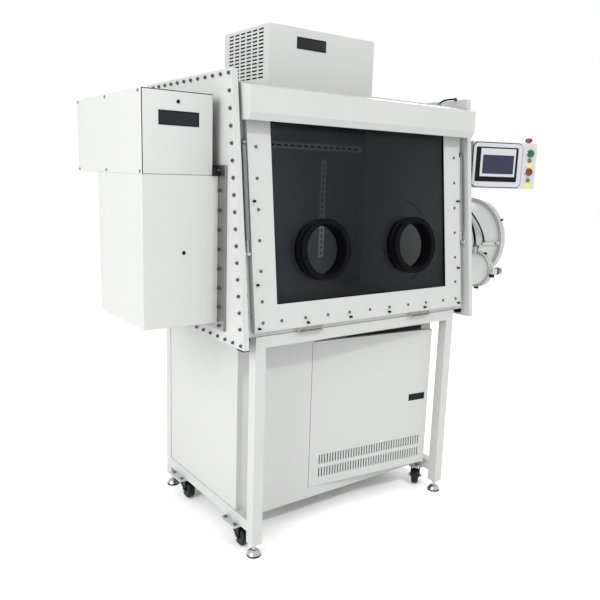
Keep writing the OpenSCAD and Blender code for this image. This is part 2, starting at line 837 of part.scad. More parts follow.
module strut_cylinder(s) {
  color(steel) placed() tilted() translate([s * strut_x, strut_in, 0]) difference() {
    union() {
      translate([0, 0, cylinder_low]) cylinder(d = strut_d, h = strut_high - 14 - cylinder_low);
      translate([0, 0, strut_high - 15]) cylinder(d = 9, h = 15);
      along_x(-eye_w / 2, 0, strut_high, 2 * eye_r, eye_w);
      along_x(s > 0 ? window_w / 2 - strut_x + slack : 0, 0, strut_high, 10, strut_x - window_w / 2 - slack);
    }
    translate([0, 0, cylinder_low - 1]) cylinder(d = rod_d + 2 * run, h = rod_length - 40);
  }
}

module strut_cylinder_l() strut_cylinder(-1);
module strut_cylinder_r() strut_cylinder(1);

module strut_rod(s) {
  color(steel) placed() tilted() translate([s * strut_x, strut_in, 0]) difference() {
    union() {
      translate([0, 0, strut_low]) cylinder(d = rod_d, h = rod_length - 20);
      along_x(-eye_w / 2, 0, strut_low, 2 * eye_r, eye_w);
    }
    along_x(-eye_w, 0, strut_low, hinge_d + 2 * run, 2 * eye_w);
  }
}

module strut_rod_l() strut_rod(-1);
module strut_rod_r() strut_rod(1);

module hood() {
  t = 3;
  mid = hood_low + hood_lip;
  high = mid + hood_h;
  top = high + hood_rise;
  lip = [hood_y + hood_under, hood_low];
  rear = front_y(top, front_set);
  color(white) placed() {
    on_side(-hood_w / 2, hood_w) polygon([
      lip, [hood_y, mid], [hood_y, high], [rear, top], [rear - 0.4, top - t], [hood_y + t, high - 2.5],
      [hood_y + t, mid + 0.8], [lip[0] + 2.6, lip[1] + 1.5]
    ]);
    for (x = [-hood_w / 2, hood_w / 2 - t]) on_side(x, t) polygon([
      lip, [hood_y, mid], [hood_y, high], [rear, top], [front_y(hood_low + t, front_set), hood_low + t]
    ]);
  }
}

module cooling_unit() {
  color(white) placed() difference() {
    translate([cooler_left, cooler_y, chamber_top]) cube([cooler_w, cooler_d, cooler_h]);
    for (x = [cooler_left - 1, cooler_left + cooler_w - 3], c = [0 : 5], r = [0 : 13])
      translate([x, cooler_y + 38 + c * 46, chamber_top + 42 + r * 14]) cube([4, 36, 6]);
  }
  color(black) placed() translate([cooler_left + 134, cooler_y - display_t, chamber_top + 165])
    cube([145, display_t + 1, 44]);
}

module freezer_cavity() {
  translate([box_left + freezer_wall, box_front + freezer_wall, freezer_z + freezer_wall])
    cube([-panel_out - box_left, freezer_d - 2 * freezer_wall, freezer_h - 2 * freezer_wall]);
}

module freezer_body() {
  color(white) placed() difference() {
    translate([box_left, box_front, freezer_z]) cube([freezer_right - box_left, freezer_d, freezer_h]);
    freezer_cavity();
  }
}

module freezer_flange() {
  color(steel) placed() difference() {
    translate([freezer_right, box_front - freezer_lip, freezer_z - 27])
      cube([flange_t, freezer_d + 2 * freezer_lip, freezer_h + 66]);
    freezer_cavity();
  }
}

module freezer_door() {
  color(white) placed() difference() {
    union() {
      translate([ice_x, box_front + freezer_wall - ice_lap, ice_low])
        cube([ice_t, ice_edge - box_front - freezer_wall + ice_lap, ice_h]);
      for (z = [ice_low + 90 + slack, ice_low + ice_h - 110 + slack]) {
        translate([ice_axis_x, ice_axis_y, z]) cylinder(d = 14, h = 34);
        translate([ice_axis_x - 4, ice_edge - 1, z]) cube([8, ice_axis_y - ice_edge + 1, 34]);
      }
      translate([ice_x + ice_t - 1, box_front + freezer_wall + 10, ice_low + ice_h / 2 - 60])
        cube([13, 16, 120]);
    }
    translate([ice_axis_x, ice_axis_y, ice_low]) cylinder(d = hinge_d + 2 * run, h = ice_h);
  }
}

module control_box() {
  color(white) placed() translate([box_left, box_front, freezer_top])
    cube([control_w, control_d, control_h]);
  color(black) placed() translate([box_left + 62, box_front - display_t, freezer_top + 168])
    cube([154, display_t + 1, 49]);
}

module on_panel() translate([panel_x, panel_y, panel_z]) rotate([0, 0, -panel_yaw]) children();

module panel_bracket() {
  color(white) placed() {
    translate([panel_out, swivel_y - 30, arm_z]) cube([8, 60, arm_h]);
    for (z = [arm_z, arm_z + arm_h - 12]) {
      translate([panel_out + 7, swivel_y - 9, z]) cube([swivel_x - panel_out - 7, 18, 12]);
      translate([swivel_x, swivel_y, z]) cylinder(d = 18, h = 12);
    }
    translate([swivel_x, swivel_y, arm_z + 11]) cylinder(d = 10, h = arm_h - 22);
  }
}

module panel_box() {
  low = arm_z - panel_z + 12 + slack;
  tall = arm_h - 24 - 2 * slack;
  color(white) placed() on_panel() difference() {
    union() {
      cube([panel_w, panel_d, panel_h]);
      translate([pivot_u, pivot_w, low]) cylinder(d = 20, h = tall);
      translate([pivot_u - 8, panel_d - 1, low]) cube([16, pivot_w - panel_d + 1, tall]);
    }
    translate([pivot_u, pivot_w, low - 1]) cylinder(d = 10 + 2 * run, h = tall + 2);
    for (z = [start_z, stop_z]) translate([strip_u, 26, z]) rotate([90, 0, 0]) cylinder(d = 16 + 2 * run, h = 30);
    translate([stop_u, panel_d / 2, panel_h - 26]) cylinder(d = 16 + 2 * run, h = 30);
  }
}

module rounded(w, t, h, r) {
  translate([r, 0, 0]) cube([w - 2 * r, t, h]);
  translate([0, 0, r]) cube([w, t, h - 2 * r]);
  for (x = [r, w - r], z = [r, h - r]) translate([x, t, z]) rotate([90, 0, 0]) cylinder(r = r, h = t);
}

module panel_bezel() {
  color([0.8, 0.81, 0.8]) placed() on_panel() translate([2, -bezel_t, (panel_h - bezel_h) / 2])
    rounded(bezel_w, bezel_t, bezel_h, 24);
}

module panel_screen() {
  color(black) placed() on_panel()
    translate([2 + screen_edge, -bezel_t - 2, (panel_h - bezel_h) / 2 + screen_in])
      rounded(bezel_w - screen_edge - screen_in, 2, bezel_h - screen_edge - screen_in - 5, 5);
}

module push_button(z) {
  placed() on_panel() translate([strip_u, 0, z]) rotate([90, 0, 0]) {
    translate([0, 0, -20]) cylinder(d = 16, h = 20 + button_out - 1);
    translate([0, 0, button_out - 5]) cylinder(d = button_d, h = 5);
  }
}

module start_button() color([0.1, 0.55, 0.25]) push_button(start_z);
module stop_button() color([0.75, 0.1, 0.1]) push_button(stop_z);

module emergency_stop() {
  color([0.75, 0.1, 0.1]) placed() on_panel() translate([stop_u, panel_d / 2, panel_h]) {
    translate([0, 0, -19]) cylinder(d = 16, h = 29);
    translate([0, 0, 7]) cylinder(d = 34, h = 14);
    translate([0, 0, 21]) cylinder(d1 = 34, d2 = 24, h = 4);
  }
}

module tube_chamber(r, door_r, wall_r, end) {
  difference() {
    union() {
      translate([panel_in, 0, 0]) rotate([0, 90, 0]) cylinder(r = r, h = end - panel_in);
      translate([panel_out, 0, 0]) rotate([0, 90, 0]) cylinder(r = wall_r, h = flange_ring);
      translate([end - flange_ring, 0, 0]) rotate([0, 90, 0]) cylinder(r = door_r, h = flange_ring);
    }
    translate([panel_in - 1, 0, 0]) rotate([0, 90, 0]) cylinder(r = r - ante_wall, h = end);
  }
}

module large_antechamber() {
  color(white) placed() {
    translate([0, large_y, large_z]) tube_chamber(large_r, large_door_r, large_r + 19, large_end);
    for (z = [large_z - 60, large_z + 48]) {
      translate([large_end - flange_ring, large_axis_y - 28, z]) cube([flange_ring, 36, 12]);
      translate([large_end - flange_ring, large_axis_y - 8, z])
        cube([large_axis_x + 8 - large_end + flange_ring, 16, 12]);
    }
    translate([large_axis_x, large_axis_y, large_z - 50]) cylinder(d = 10, h = 100);
    translate([large_end - flange_ring - bar_l, large_y - large_r - bar_t + 2, large_z - bar_t])
      cube([bar_l + 1, bar_t, bar_t]);
  }
}

module large_outer_door() {
  x = large_end + gasket;
  face = x + ante_door_t;
  reach = 48 - slack;
  color(white) placed() difference() {
    union() {
      along_x(x, large_y, large_z, 2 * large_door_r, ante_door_t);
      along_x(face - 1, large_y, large_z, 60, 21);
      translate([large_axis_x, large_axis_y, large_z - reach]) cylinder(d = 20, h = 2 * reach);
      translate([large_axis_x + 2, large_axis_y - 110, large_z - 25])
        cube([face + 4 - large_axis_x, 110, 50]);
    }
    along_x(x - 1, large_y, large_z, 16 + 2 * run, 60);
    translate([large_axis_x, large_axis_y, large_z - 60]) cylinder(d = 10 + 2 * run, h = 120);
  }
}

module large_handwheel() {
  hub = large_end + gasket + ante_door_t + 20 + slack;
  color(steel) placed() translate([0, large_y, large_z]) {
    along_x(large_end + gasket + 1, 0, 0, 16, ante_door_t + 25);
    along_x(hub, 0, 0, 44, wheel_plane + rim_r - 2 - hub);
    translate([wheel_plane, 0, 0]) rotate([0, 90, 0]) rotate_extrude()
      translate([handwheel_r, 0]) circle(r = rim_r, $fn = 24);
    for (a = [0, 120, 240]) translate([wheel_plane, 0, 0]) rotate([a, 0, 0])
      cylinder(d = 10, h = handwheel_r);
  }
}

module lid(y, z, r, axis_y, spans) {
  inner = lid_x - lid_t;
  from = axis_y > y ? y + r / 2 : axis_y;
  to = axis_y > y ? axis_y : y - r / 2;
  color(white) placed() difference() {
    union() {
      along_x(inner, y, z, 2 * r, lid_t);
      along_x(inner - 15, y, z, 50, 16);
      for (k = spans) {
        translate([lid_axis_x, axis_y, z + k[0]]) cylinder(d = 14, h = k[1]);
        translate([lid_axis_x - 3, from, z + k[0] + 1]) cube([7, to - from, k[1] - 2]);
      }
    }
    translate([lid_axis_x, axis_y, z - 100]) cylinder(d = hinge_d + 2 * run, h = 200);
  }
}

module large_inner_door()
  lid(large_y, large_z, large_lid_r, large_lid_axis, [[slack - 60, 28], [50 + slack, 28]]);

module small_antechamber() {
  color(white) placed() {
    translate([0, small_y, small_z]) tube_chamber(small_r, small_door_r, small_r + 12, small_end);
    for (z = [small_z - 34, small_z + 24]) {
      translate([small_end - flange_ring, small_axis_y - 28, z]) cube([flange_ring, 35, 10]);
      translate([small_end - flange_ring, small_axis_y - 7, z])
        cube([small_axis_x + 7 - small_end + flange_ring, 14, 10]);
    }
    translate([small_axis_x, small_axis_y, small_z - 30]) cylinder(d = hinge_d, h = 60);
    translate([small_end - flange_ring, small_y - small_door_r - 24, small_z - 14])
      cube([flange_ring, 34, 28]);
    translate([fitting_x, small_y, small_z + small_r - 3])
      cylinder(d = fitting_d, h = fitting_top - small_z - small_r + 3);
  }
}

module small_outer_door() {
  x = small_end + gasket;
  reach = 24 - slack;
  clamp_y = small_y - small_door_r - 12;
  color(white) placed() difference() {
    union() {
      along_x(x, small_y, small_z, 2 * small_door_r, ante_door_t);
      translate([small_axis_x, small_axis_y, small_z - reach]) cylinder(d = 16, h = 2 * reach);
      translate([small_axis_x + 2, small_axis_y - 60, small_z - 18])
        cube([x + ante_door_t + 3 - small_axis_x, 60, 36]);
      translate([x, clamp_y - 12, small_z - 14]) cube([ante_door_t, 36, 28]);
    }
    translate([small_axis_x, small_axis_y, small_z - 60]) cylinder(d = hinge_d + 2 * run, h = 120);
    along_x(x - 1, clamp_y, small_z, 10 + 2 * run, 60);
  }
}

module small_clamp_knob() {
  x = small_end + gasket + ante_door_t + slack;
  color(steel) placed() translate([0, small_y - small_door_r - 12, small_z]) {
    along_x(small_end + 1, 0, 0, 10, 30);
    along_x(x, 0, 0, 22, 12);
    along_x(x + 11, 0, 0, 38, 20);
  }
}

module small_inner_door() lid(small_y, small_z, small_lid_r, small_lid_axis, [[slack - 14, 33]]);

module hose(y, c, d, rings) {
  sides = 10;
  points = [for (i = [0 : rings], k = [0 : sides - 1])
    let (
      at = curve(c, i / rings),
      ahead = heading(c, i / rings) / norm(heading(c, i / rings)),
      up = d / 2 * cos(360 * k / sides)
    ) [at[0] - ahead[1] * up, y + d / 2 * sin(360 * k / sides), at[1] + ahead[0] * up]];
  walls = [for (i = [0 : rings - 1], k = [0 : sides - 1])
    let (
      a = i * sides + k,
      b = i * sides + (k + 1) % sides
    ) each [[a, b, b + sides], [a, b + sides, a + sides]]];
  polyhedron(points, concat(
    walls, [[for (k = [sides - 1 : -1 : 0]) k]], [[for (k = [0 : sides - 1]) rings * sides + k]]
  ));
}

module gas_hoses() {
  wall_x = panel_out + seam;
  hose_z = small_z + hose_rise;
  line_z = large_z + line_rise;
  roof = chamber_top + seam;
  color(black) placed() {
    hose(small_y, [
      [wall_x, hose_z], [mix(wall_x, fitting_x, 0.63), hose_z],
      [fitting_x, mix(fitting_top, hose_z, 0.35)], [fitting_x, fitting_top + seam]
    ], hose_d, 14);
    hose(line_y, [
      [wall_x, line_z], [mix(wall_x, line_x, 0.52), line_z],
      [line_x, mix(large_z, line_z, 0.27)], [line_x, large_z + seam]
    ], line_d, 30);
    hose(cable_y, [
      [half - cable_l, roof], [half - cable_l, roof + cable_rise],
      [half - cable_l / 3, roof + 1.5 * cable_rise], [half - seam, roof + 1.5 * cable_rise]
    ], line_d, 12);
  }
}

module shelf_rails() {
  y = chamber_back - wall - rail_t;
  reach = half - 25;
  high = stand_height + rail_up;
  low = stand_height + upright_up;
  color(steel) placed() difference() {
    union() {
      translate([-reach, y, high]) cube([2 * reach, rail_t, rail_w]);
      for (s = [-1, 1]) translate([s * upright_x - rail_w / 2, y, low]) cube([rail_w, rail_t, upright_h]);
    }
    for (i = [-13 : 13]) translate([(i - 1 / 3) * reach / 14, y - 1, high + rail_w / 2 - 4])
      cube([reach / 21, rail_t + 2, 8]);
    for (s = [-1, 1], i = [0 : 15]) translate([s * upright_x - 4, y - 1, low + (i + 0.5) * upright_h / 16.7])
      cube([8, rail_t + 2, upright_h / 29]);
  }
}

stand_legs();
stand_rails();
caster_plates();
caster_fork_fl();
caster_fork_fr();
caster_fork_rl();
caster_fork_rr();
caster_wheel_fl();
caster_wheel_fr();
caster_wheel_rl();
caster_wheel_rr();
levelling_foot_fl();
levelling_foot_fr();
levelling_foot_rl();
levelling_foot_rr();
cabinet_panels();
cabinet_door();
door_latch();
purifier_column();
circulation_blower();
chamber_shell();
end_flanges();
left_side_panel();
right_side_panel();
flange_bolts();
front_frame();
window_hinges();
window_frame();
window_glass();
window_seal();
glove_ports();
window_handles();
window_screws();
strut_cylinder_l();
strut_cylinder_r();
strut_rod_l();
strut_rod_r();
hood();
cooling_unit();
freezer_body();
freezer_flange();
freezer_door();
control_box();
panel_bracket();
panel_box();
panel_bezel();
panel_screen();
start_button();
stop_button();
emergency_stop();
large_antechamber();
large_outer_door();
large_handwheel();
large_inner_door();
small_antechamber();
small_outer_door();
small_clamp_knob();
small_inner_door();
gas_hoses();
shelf_rails();
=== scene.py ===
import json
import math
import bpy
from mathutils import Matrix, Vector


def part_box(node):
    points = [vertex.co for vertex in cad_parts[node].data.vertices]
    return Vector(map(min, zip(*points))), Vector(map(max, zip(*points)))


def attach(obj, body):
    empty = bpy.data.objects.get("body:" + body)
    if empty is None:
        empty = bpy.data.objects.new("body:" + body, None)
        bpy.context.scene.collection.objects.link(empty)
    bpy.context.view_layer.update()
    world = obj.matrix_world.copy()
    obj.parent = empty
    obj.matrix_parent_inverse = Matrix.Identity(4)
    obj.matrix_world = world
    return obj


bl_info = {
    "name": "Laboratory glove box",
    "version": (1, 0, 0),
    "blender": (4, 5, 0),
    "location": "View3D > Sidebar > Glove box",
    "description": "Finishes and small fittings of a laboratory glove box, with a studio stage",
    "category": "Object",
}

import bmesh
import bpy
from mathutils import Matrix, Vector

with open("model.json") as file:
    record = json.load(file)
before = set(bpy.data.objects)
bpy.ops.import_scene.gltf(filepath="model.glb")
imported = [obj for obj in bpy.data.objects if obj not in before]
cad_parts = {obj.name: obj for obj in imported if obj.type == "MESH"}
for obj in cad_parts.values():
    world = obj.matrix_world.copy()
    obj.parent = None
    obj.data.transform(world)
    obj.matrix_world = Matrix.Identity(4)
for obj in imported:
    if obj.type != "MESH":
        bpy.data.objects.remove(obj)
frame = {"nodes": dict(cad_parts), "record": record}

MM = 0.001

# Camera fitted to the photograph: place in metres, turns in degrees, lens and sensor in millimetres
CAMERA_AT = (-2.0141, -2.40452, 1.5335)
CAMERA_YAW, CAMERA_PITCH, CAMERA_ROLL = 36.309, -10.902, 1.812
CAMERA_LENS, CAMERA_SENSOR = 39.617, 36
# Half the width of the floor in metres, so that its far edge lies close to the horizon
FLOOR_REACH = 40

# Grinding scratches are about 0.1 mm apart; they are drawn at 0.8 mm so that they show
SCRATCH_MM = 0.8
# Scratches are stretched along the grain, and make the surface a little shinier and duller by turns
ALONG_GRAIN = 0.03
SHINIER, DULLER = 0.08, 0.1
BUMP_MM = 0.2

# Share of the pane's width and height: left, bottom, right, top
SCREEN_FRAME_SHARE = (0.103, 0.146, 0.943, 0.963)
SCREEN_SHARE = (0.154, 0.226, 0.9, 0.774)


def srgb(code):
    """Linear colour of an sRGB hex code."""
    parts = [int(code[i : i + 2], 16) / 255 for i in (1, 3, 5)]
    return tuple(p / 12.92 if p <= 0.04045 else ((p + 0.055) / 1.055) ** 2.4 for p in parts)


def length(label, about, value):
    """A length property, given in millimetres."""
    return bpy.props.FloatProperty(
        name=label, description=about, default=value * MM, unit="LENGTH", precision=4
    )


def angle(label, about, value):
    """An angle property, given in degrees."""
    return bpy.props.FloatProperty(
        name=label, description=about, default=math.radians(value), subtype="ANGLE"
    )


def colour(label, about, code):
    """A colour property, given as an sRGB hex code."""
    return bpy.props.FloatVectorProperty(
        name=label, description=about, default=srgb(code), subtype="COLOR", size=3, min=0, max=1
    )


class GloveBoxSizes(bpy.types.PropertyGroup):
    tilt: angle("Window slope", "Slope of the window from the vertical", 6.4)
    yaw: angle("Panel turn", "Turn of the operating panel from the stand's front", 20)
    edge: length("Edge radius", "Radius of folded sheet edges", 1.6)
    nut: length("Nut width", "Width of a flange nut across its corners", 12.5)
    lip: length("Frame lip", "Depth of the window frame in front of the glass", 8)
    knob: length("Screw knob", "Diameter of a hold-down screw of the window", 9)
    lamp: length("Lamp diameter", "Diameter of the tube lamp under the hood", 26)
    fork: length("Fork width", "Width over the cheeks of a caster fork", 46)
    pilot: length("Pilot lamp", "Diameter of a pilot lamp beside the buttons", 20)


class GloveBoxColours(bpy.types.PropertyGroup):
    coat: colour("Powder coat", "White powder coat of the housing", "#adaead")
    ivory: colour("Panel plastic", "Light grey plastic of the bezel", "#a9abaf")
    tint: colour("Glass tint", "Dark tint of the window", "#0b0f15")
    rubber: colour("Rubber", "Black rubber of ports, seal and feet", "#0a0a0d")
    black: colour("Black plastic", "Gloss black of plates and latch", "#08080a")
    screen: colour("Screen", "Slate blue of the resting screen", "#26283d")
    green: colour("Green", "Start button", "#0c4532")
    red: colour("Red", "Stop buttons", "#6b0a1d")
    yellow: colour("Yellow", "Blank tags beside the buttons", "#ccbd40")
    floor: colour("Floor", "Pale studio floor", "#ffffff")


def sizes():
    return bpy.context.scene.glove_box_sizes


def colours():
    return bpy.context.scene.glove_box_colours


def add_node(tree, kind, at, settings=None, links=None):
    """Adds a shader node with its input values and the links into it, and returns it."""
    made = tree.nodes.new(kind)
    made.location = at
    for key, value in (settings or {}).items():
        made.inputs[key].default_value = value
    for key, source in (links or {}).items():
        tree.links.new(source, made.inputs[key])
    return made


def finish_of(
    name, rgb, rough, metal=0.0, grain=0.0, grain_mm=1.0, alpha=1.0, coat=0.0, shine=0.5, brush=None
):
    """A named finish: one shader, with a fine bump grain or scratches along an axis where wanted."""
    if name in bpy.data.materials:
        return bpy.data.materials[name]
    mat = bpy.data.materials.new(name)
    mat.use_nodes = True
    mat.diffuse_color = (*rgb, alpha)
    tree = mat.node_tree
    tree.nodes.clear()
    links = {}
    if grain or brush is not None:
        place = add_node(tree, "ShaderNodeTexCoord", (-1100, 0))
    if grain:
        noise = add_node(
            tree,
            "ShaderNodeTexNoise",
            (-700, -200),
            {"Scale": 1 / (grain_mm * MM), "Detail": 2.0},
            {"Vector": place.outputs["Object"]},
        )
        bump = add_node(
            tree,
            "ShaderNodeBump",
            (-300, -200),
            {"Strength": grain, "Distance": BUMP_MM * MM},
            {"Height": noise.outputs["Fac"]},
        )
        links["Normal"] = bump.outputs["Normal"]
    if brush is not None:
        stretch = add_node(
            tree,
            "ShaderNodeMapping",
            (-900, 200),
            {"Scale": [ALONG_GRAIN if axis == brush else 1.0 for axis in range(3)]},
            {"Vector": place.outputs["Object"]},
        )
        lines = add_node(
            tree,
            "ShaderNodeTexNoise",
            (-700, 200),
            {"Scale": 1 / (SCRATCH_MM * MM), "Detail": 3.0},
            {"Vector": stretch.outputs["Vector"]},
        )
        spread = add_node(
            tree,
            "ShaderNodeMapRange",
            (-400, 200),
            {"To Min": rough - SHINIER, "To Max": rough + DULLER},
            {"Value": lines.outputs["Fac"]},
        )
        links["Roughness"] = spread.outputs["Result"]
    shader = add_node(
        tree,
        "ShaderNodeBsdfPrincipled",
        (0, 0),
        {
            "Base Color": (*rgb, 1),
            "Roughness": rough,
            "Metallic": metal,
            "Alpha": alpha,
            "Coat Weight": coat,
            "Specular IOR Level": shine,
        },
        links,
    )
    add_node(tree, "ShaderNodeOutputMaterial", (300, 0), None, {"Surface": shader.outputs["BSDF"]})
    return mat


def white():
    # Powder coat: a satin white that scatters light widely, with a faint peel in its highlights.
    # The peel is under 1 mm across; it is drawn at 1.6 mm so that it shows.
    return finish_of("White powder coat", colours().coat, 0.45, grain=0.1, grain_mm=1.6, shine=0.35)


def stainless():
    # Ground stainless steel: a warm grey whose highlights run out along the grain
    return finish_of("Brushed stainless steel", srgb("#979492"), 0.34, metal=1.0, brush=2)


def lining():
    # Stainless sheet with a mill finish: a dull, dark grey inside the unlit chamber
    return finish_of("Mill finish stainless steel", srgb("#b9bbc0"), 0.5, metal=1.0, brush=0)


def chrome():
    # Polished chrome: a cool mirror with hard light and dark bands
    return finish_of("Bright chrome", srgb("#b9bcc0"), 0.1, metal=1.0)


def zinc():
    # Zinc plate: a dull grey metal whose fine crystals break up the highlights
    return finish_of("Zinc plated steel", srgb("#66686b"), 0.32, metal=1.0, grain=0.1, grain_mm=0.8)


def galvanised():
    # Galvanised strip: a pale, frosted grey that stays light in the dark chamber
    return finish_of("Galvanised steel", srgb("#e4e6e8"), 0.5, metal=0.1, grain=0.1, grain_mm=1.5)


def lacquer():
    # Lacquered strut tube: a smooth grey metal with one long highlight
    return finish_of("Grey strut lacquer", srgb("#85878a"), 0.18, metal=0.9)


def machine_paint():
    # Hammered machine paint: a matt grey with a coarse, uneven skin
    return finish_of("Grey machine paint", srgb("#7a7f82"), 0.5, grain=0.2, grain_mm=2.0)


def rubber():
    # Moulded rubber: a deep black that gives back a faint, wide sheen
    return finish_of("Black rubber", colours().rubber, 0.5, grain=0.15, grain_mm=0.7, shine=0.04)


def nylon():
    # Nylon tread: black and slightly waxy, with a soft edge light
    return finish_of("Black nylon", srgb("#0c0c0d"), 0.45, grain=0.1, shine=0.25)


def black_plastic():
    # Moulded black plastic: near black, with a small clear highlight
    return finish_of("Gloss black plastic", colours().black, 0.28, shine=0.15)


def black_steel():
    # Black coated steel: a dark satin skin over pressed sheet
    return finish_of("Black coated steel", srgb("#0a0a0c"), 0.45, grain=0.12, grain_mm=1.2, shine=0.2)


def grey_plastic():
    # Textured plastic moulding: an even light grey without gloss
    return finish_of("Light grey plastic", colours().ivory, 0.4, grain=0.1, grain_mm=0.6)


def green_plastic():
    # Polished cap: a deep green under a clear skin
    return finish_of("Green plastic", colours().green, 0.25, coat=0.3)


def red_plastic():
    # Polished cap: a deep red under a clear skin
    return finish_of("Red plastic", colours().red, 0.25, coat=0.3)


def glass():
    # Tinted laminated glass: dark, with the chamber showing faintly through and little glare
    return finish_of("Tinted laminated glass", colours().tint, 0.03, alpha=0.42, shine=0.18)


def opal():
    # Opal lamp tube: an even, milky white
    return finish_of("Opal lamp glass", srgb("#f2f2ee"), 0.3)


def painted_shade_black():
    # Painted shade: a flat, coarse black without any gloss, laid behind vent and rail slots where only shade
    # would show
    return finish_of("Painted shade black", srgb("#0b0b0c"), 0.9, grain=0.4, grain_mm=2.5, shine=0.1)


def smoked():
    # Smoked display pane: a flat, nearly black gloss
    return finish_of("Smoked display pane", srgb("#12141d"), 0.08, shine=0.3)


def slate():
    # Resting screen: an even slate blue behind clear film
    return finish_of("Slate blue screen", colours().screen, 0.15, shine=0.3)


def lens():
    # Pilot lamp lens: a grey, glassy cap while unlit
    return finish_of("Grey lamp lens", srgb("#535856"), 0.2, coat=0.4)


def tag_film():
    # Printed tag film left blank: a flat, bright yellow
    return finish_of("Yellow tag film", colours().yellow, 0.5)


FINISHES = {
    "white_powder_coat": white,
    "black_caster_steel": black_steel,
    "caster_tread": nylon,
    "chromed_steel": chrome,
    "stainless_steel": stainless,
    "strut_grey": lacquer,
    "blower_grey": machine_paint,
    "black_rubber": rubber,
    "tinted_glass": glass,
    "black_plastic": black_plastic,
    "grey_plastic": grey_plastic,
    "green_plastic": green_plastic,
    "red_plastic": red_plastic,
}
OWN_FINISH = {"flange_bolts": zinc, "window_screws": zinc, "shelf_rails": galvanised}
SHEET_BOXES = (
    "control_box",
    "cooling_unit",
    "freezer_body",
    "panel_box",
    "cabinet_door",
    "hood",
    "panel_bezel",
)


def piece(name, bm, mat, body, smooth=True):
    """Turns a bmesh in the row frame into a finished piece that rides on a body."""
    bmesh.ops.recalc_face_normals(bm, faces=bm.faces)
    mesh = bpy.data.meshes.new(name)
    bm.to_mesh(mesh)
    bm.free()
    if smooth:
        mesh.shade_smooth()
        mesh.set_sharp_from_angle(angle=math.radians(35))
    made = bpy.data.objects.new(name, mesh)
    made.data.materials.append(mat)
    bpy.context.scene.collection.objects.link(made)
    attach(made, body)
    return made


def box_in(bm, low, high, radius=0.0, turn=None):
    """A box from corner to corner, with rounded edges where a radius is given."""
    low, high = Vector(low), Vector(high)
    made = bmesh.ops.create_cube(bm, size=1.0)
    verts = made["verts"]
    bmesh.ops.scale(bm, vec=high - low, verts=verts)
    bmesh.ops.translate(bm, vec=(low + high) / 2, verts=verts)
    if radius:
        edges = list({e for v in verts for e in v.link_edges})
        out = bmesh.ops.bevel(
            bm,
            geom=edges,
            offset=radius,
            offset_type="OFFSET",
            affect="EDGES",
            segments=3,
            profile=0.5,
            material=-1,
        )
        verts = list({v for f in out["faces"] for v in f.verts} | {v for v in verts if v.is_valid})
    if turn is not None:
        bmesh.ops.transform(bm, matrix=turn, verts=verts)


def rounded_plate(bm, low, high, radius, turn):
    """A flat plate with round corners, from its low front corner to its high back one, in a turned frame."""
    low, high = Vector(low), Vector(high)
    rim = []
    for x, z, start in (
        (high.x - radius, high.z - radius, 0),
        (low.x + radius, high.z - radius, 90),
        (low.x + radius, low.z + radius, 180),
        (high.x - radius, low.z + radius, 270),
    ):
        for i in range(9):
            a = math.radians(start + 90 * i / 8)
            rim.append(bm.verts.new((x + radius * math.cos(a), low.y, z + radius * math.sin(a))))
    face = bm.faces.new(rim)
    out = bmesh.ops.extrude_face_region(bm, geom=[face])
    back = [v for v in out["geom"] if isinstance(v, bmesh.types.BMVert)]
    bmesh.ops.translate(bm, vec=(0, high.y - low.y, 0), verts=back)
    bmesh.ops.transform(bm, matrix=turn, verts=rim + back)


def lathe(bm, at, axis, profile, steps=32):
    """A turned shape: (radius, distance) pairs spun round an axis from a point."""
    axis = Vector(axis).normalized()
    side = axis.orthogonal().normalized()
    at = Vector(at)
    verts = [bm.verts.new(at + side * r + axis * h) for r, h in profile]
    edges = [bm.edges.new(pair) for pair in zip(verts, verts[1:])]
    bmesh.ops.spin(
        bm,
        geom=verts + edges,
        cent=at,
        axis=axis,
        dvec=(0, 0, 0),
        angle=math.tau,
        steps=steps,
        use_merge=True,
    )
    bmesh.ops.remove_doubles(bm, verts=bm.verts, dist=1e-7)


def disc(bm, at, axis, radius, height, soft=0.0008, steps=28):
    """A round button shape with a softened outer rim, standing on a point."""
    profile = [(0, 0), (radius, 0), (radius, height - soft), (radius - soft, height), (0, height)]
    lathe(bm, at, axis, profile, steps)


def ring(bm, at, axis, inner, outer, height, soft=0.0008, steps=32):
    """A flat ring with softened top edges, standing on a point."""
    lathe(
        bm,
        at,
        axis,
        [
            (inner, 0),
            (outer, 0),
            (outer, height - soft),
            (outer - soft, height),
            (inner + soft, height),
            (inner, height - soft),
            (inner, 0),
        ],
        steps,
    )


def hexagon(bm, at, axis, width, height):
    """A six-sided nut or bolt head standing on a point."""
    axis = Vector(axis).normalized()
    turn = axis.to_track_quat("Z", "Y").to_matrix().to_4x4()
    place = Matrix.Translation(Vector(at) + axis * height / 2) @ turn
    bmesh.ops.create_cone(
        bm, cap_ends=True, segments=6, radius1=width / 2, radius2=width / 2, depth=height, matrix=place
    )


def screw_head(bm, at, axis, radius):
    """A low domed screw head with a round socket."""
    lathe(
        bm,
        at,
        axis,
        [
            (radius, 0),
            (radius, radius * 0.25),
            (radius * 0.8, radius * 0.5),
            (radius * 0.45, radius * 0.58),
            (radius * 0.42, radius * 0.2),
            (0, radius * 0.2),
        ],
        18,
    )


def islands(node):
    """Low and high corners of each separate solid of a CAD node."""
    bm = bmesh.new()
    bm.from_mesh(frame["nodes"][node].data)
    bmesh.ops.remove_doubles(bm, verts=bm.verts, dist=1e-6)
    left = set(bm.verts)
    found = []
    while left:
        stack = [left.pop()]
        group = []
        while stack:
            v = stack.pop()
            group.append(v.co.copy())
            for e in v.link_edges:
                w = e.other_vert(v)
                if w in left:
                    left.discard(w)
                    stack.append(w)
        found.append(span(group))
    bm.free()
    return found


def span(points):
    """Lowest and highest corner of some points."""
    return (
        Vector([min(p[i] for p in points) for i in range(3)]),
        Vector([max(p[i] for p in points) for i in range(3)]),
    )


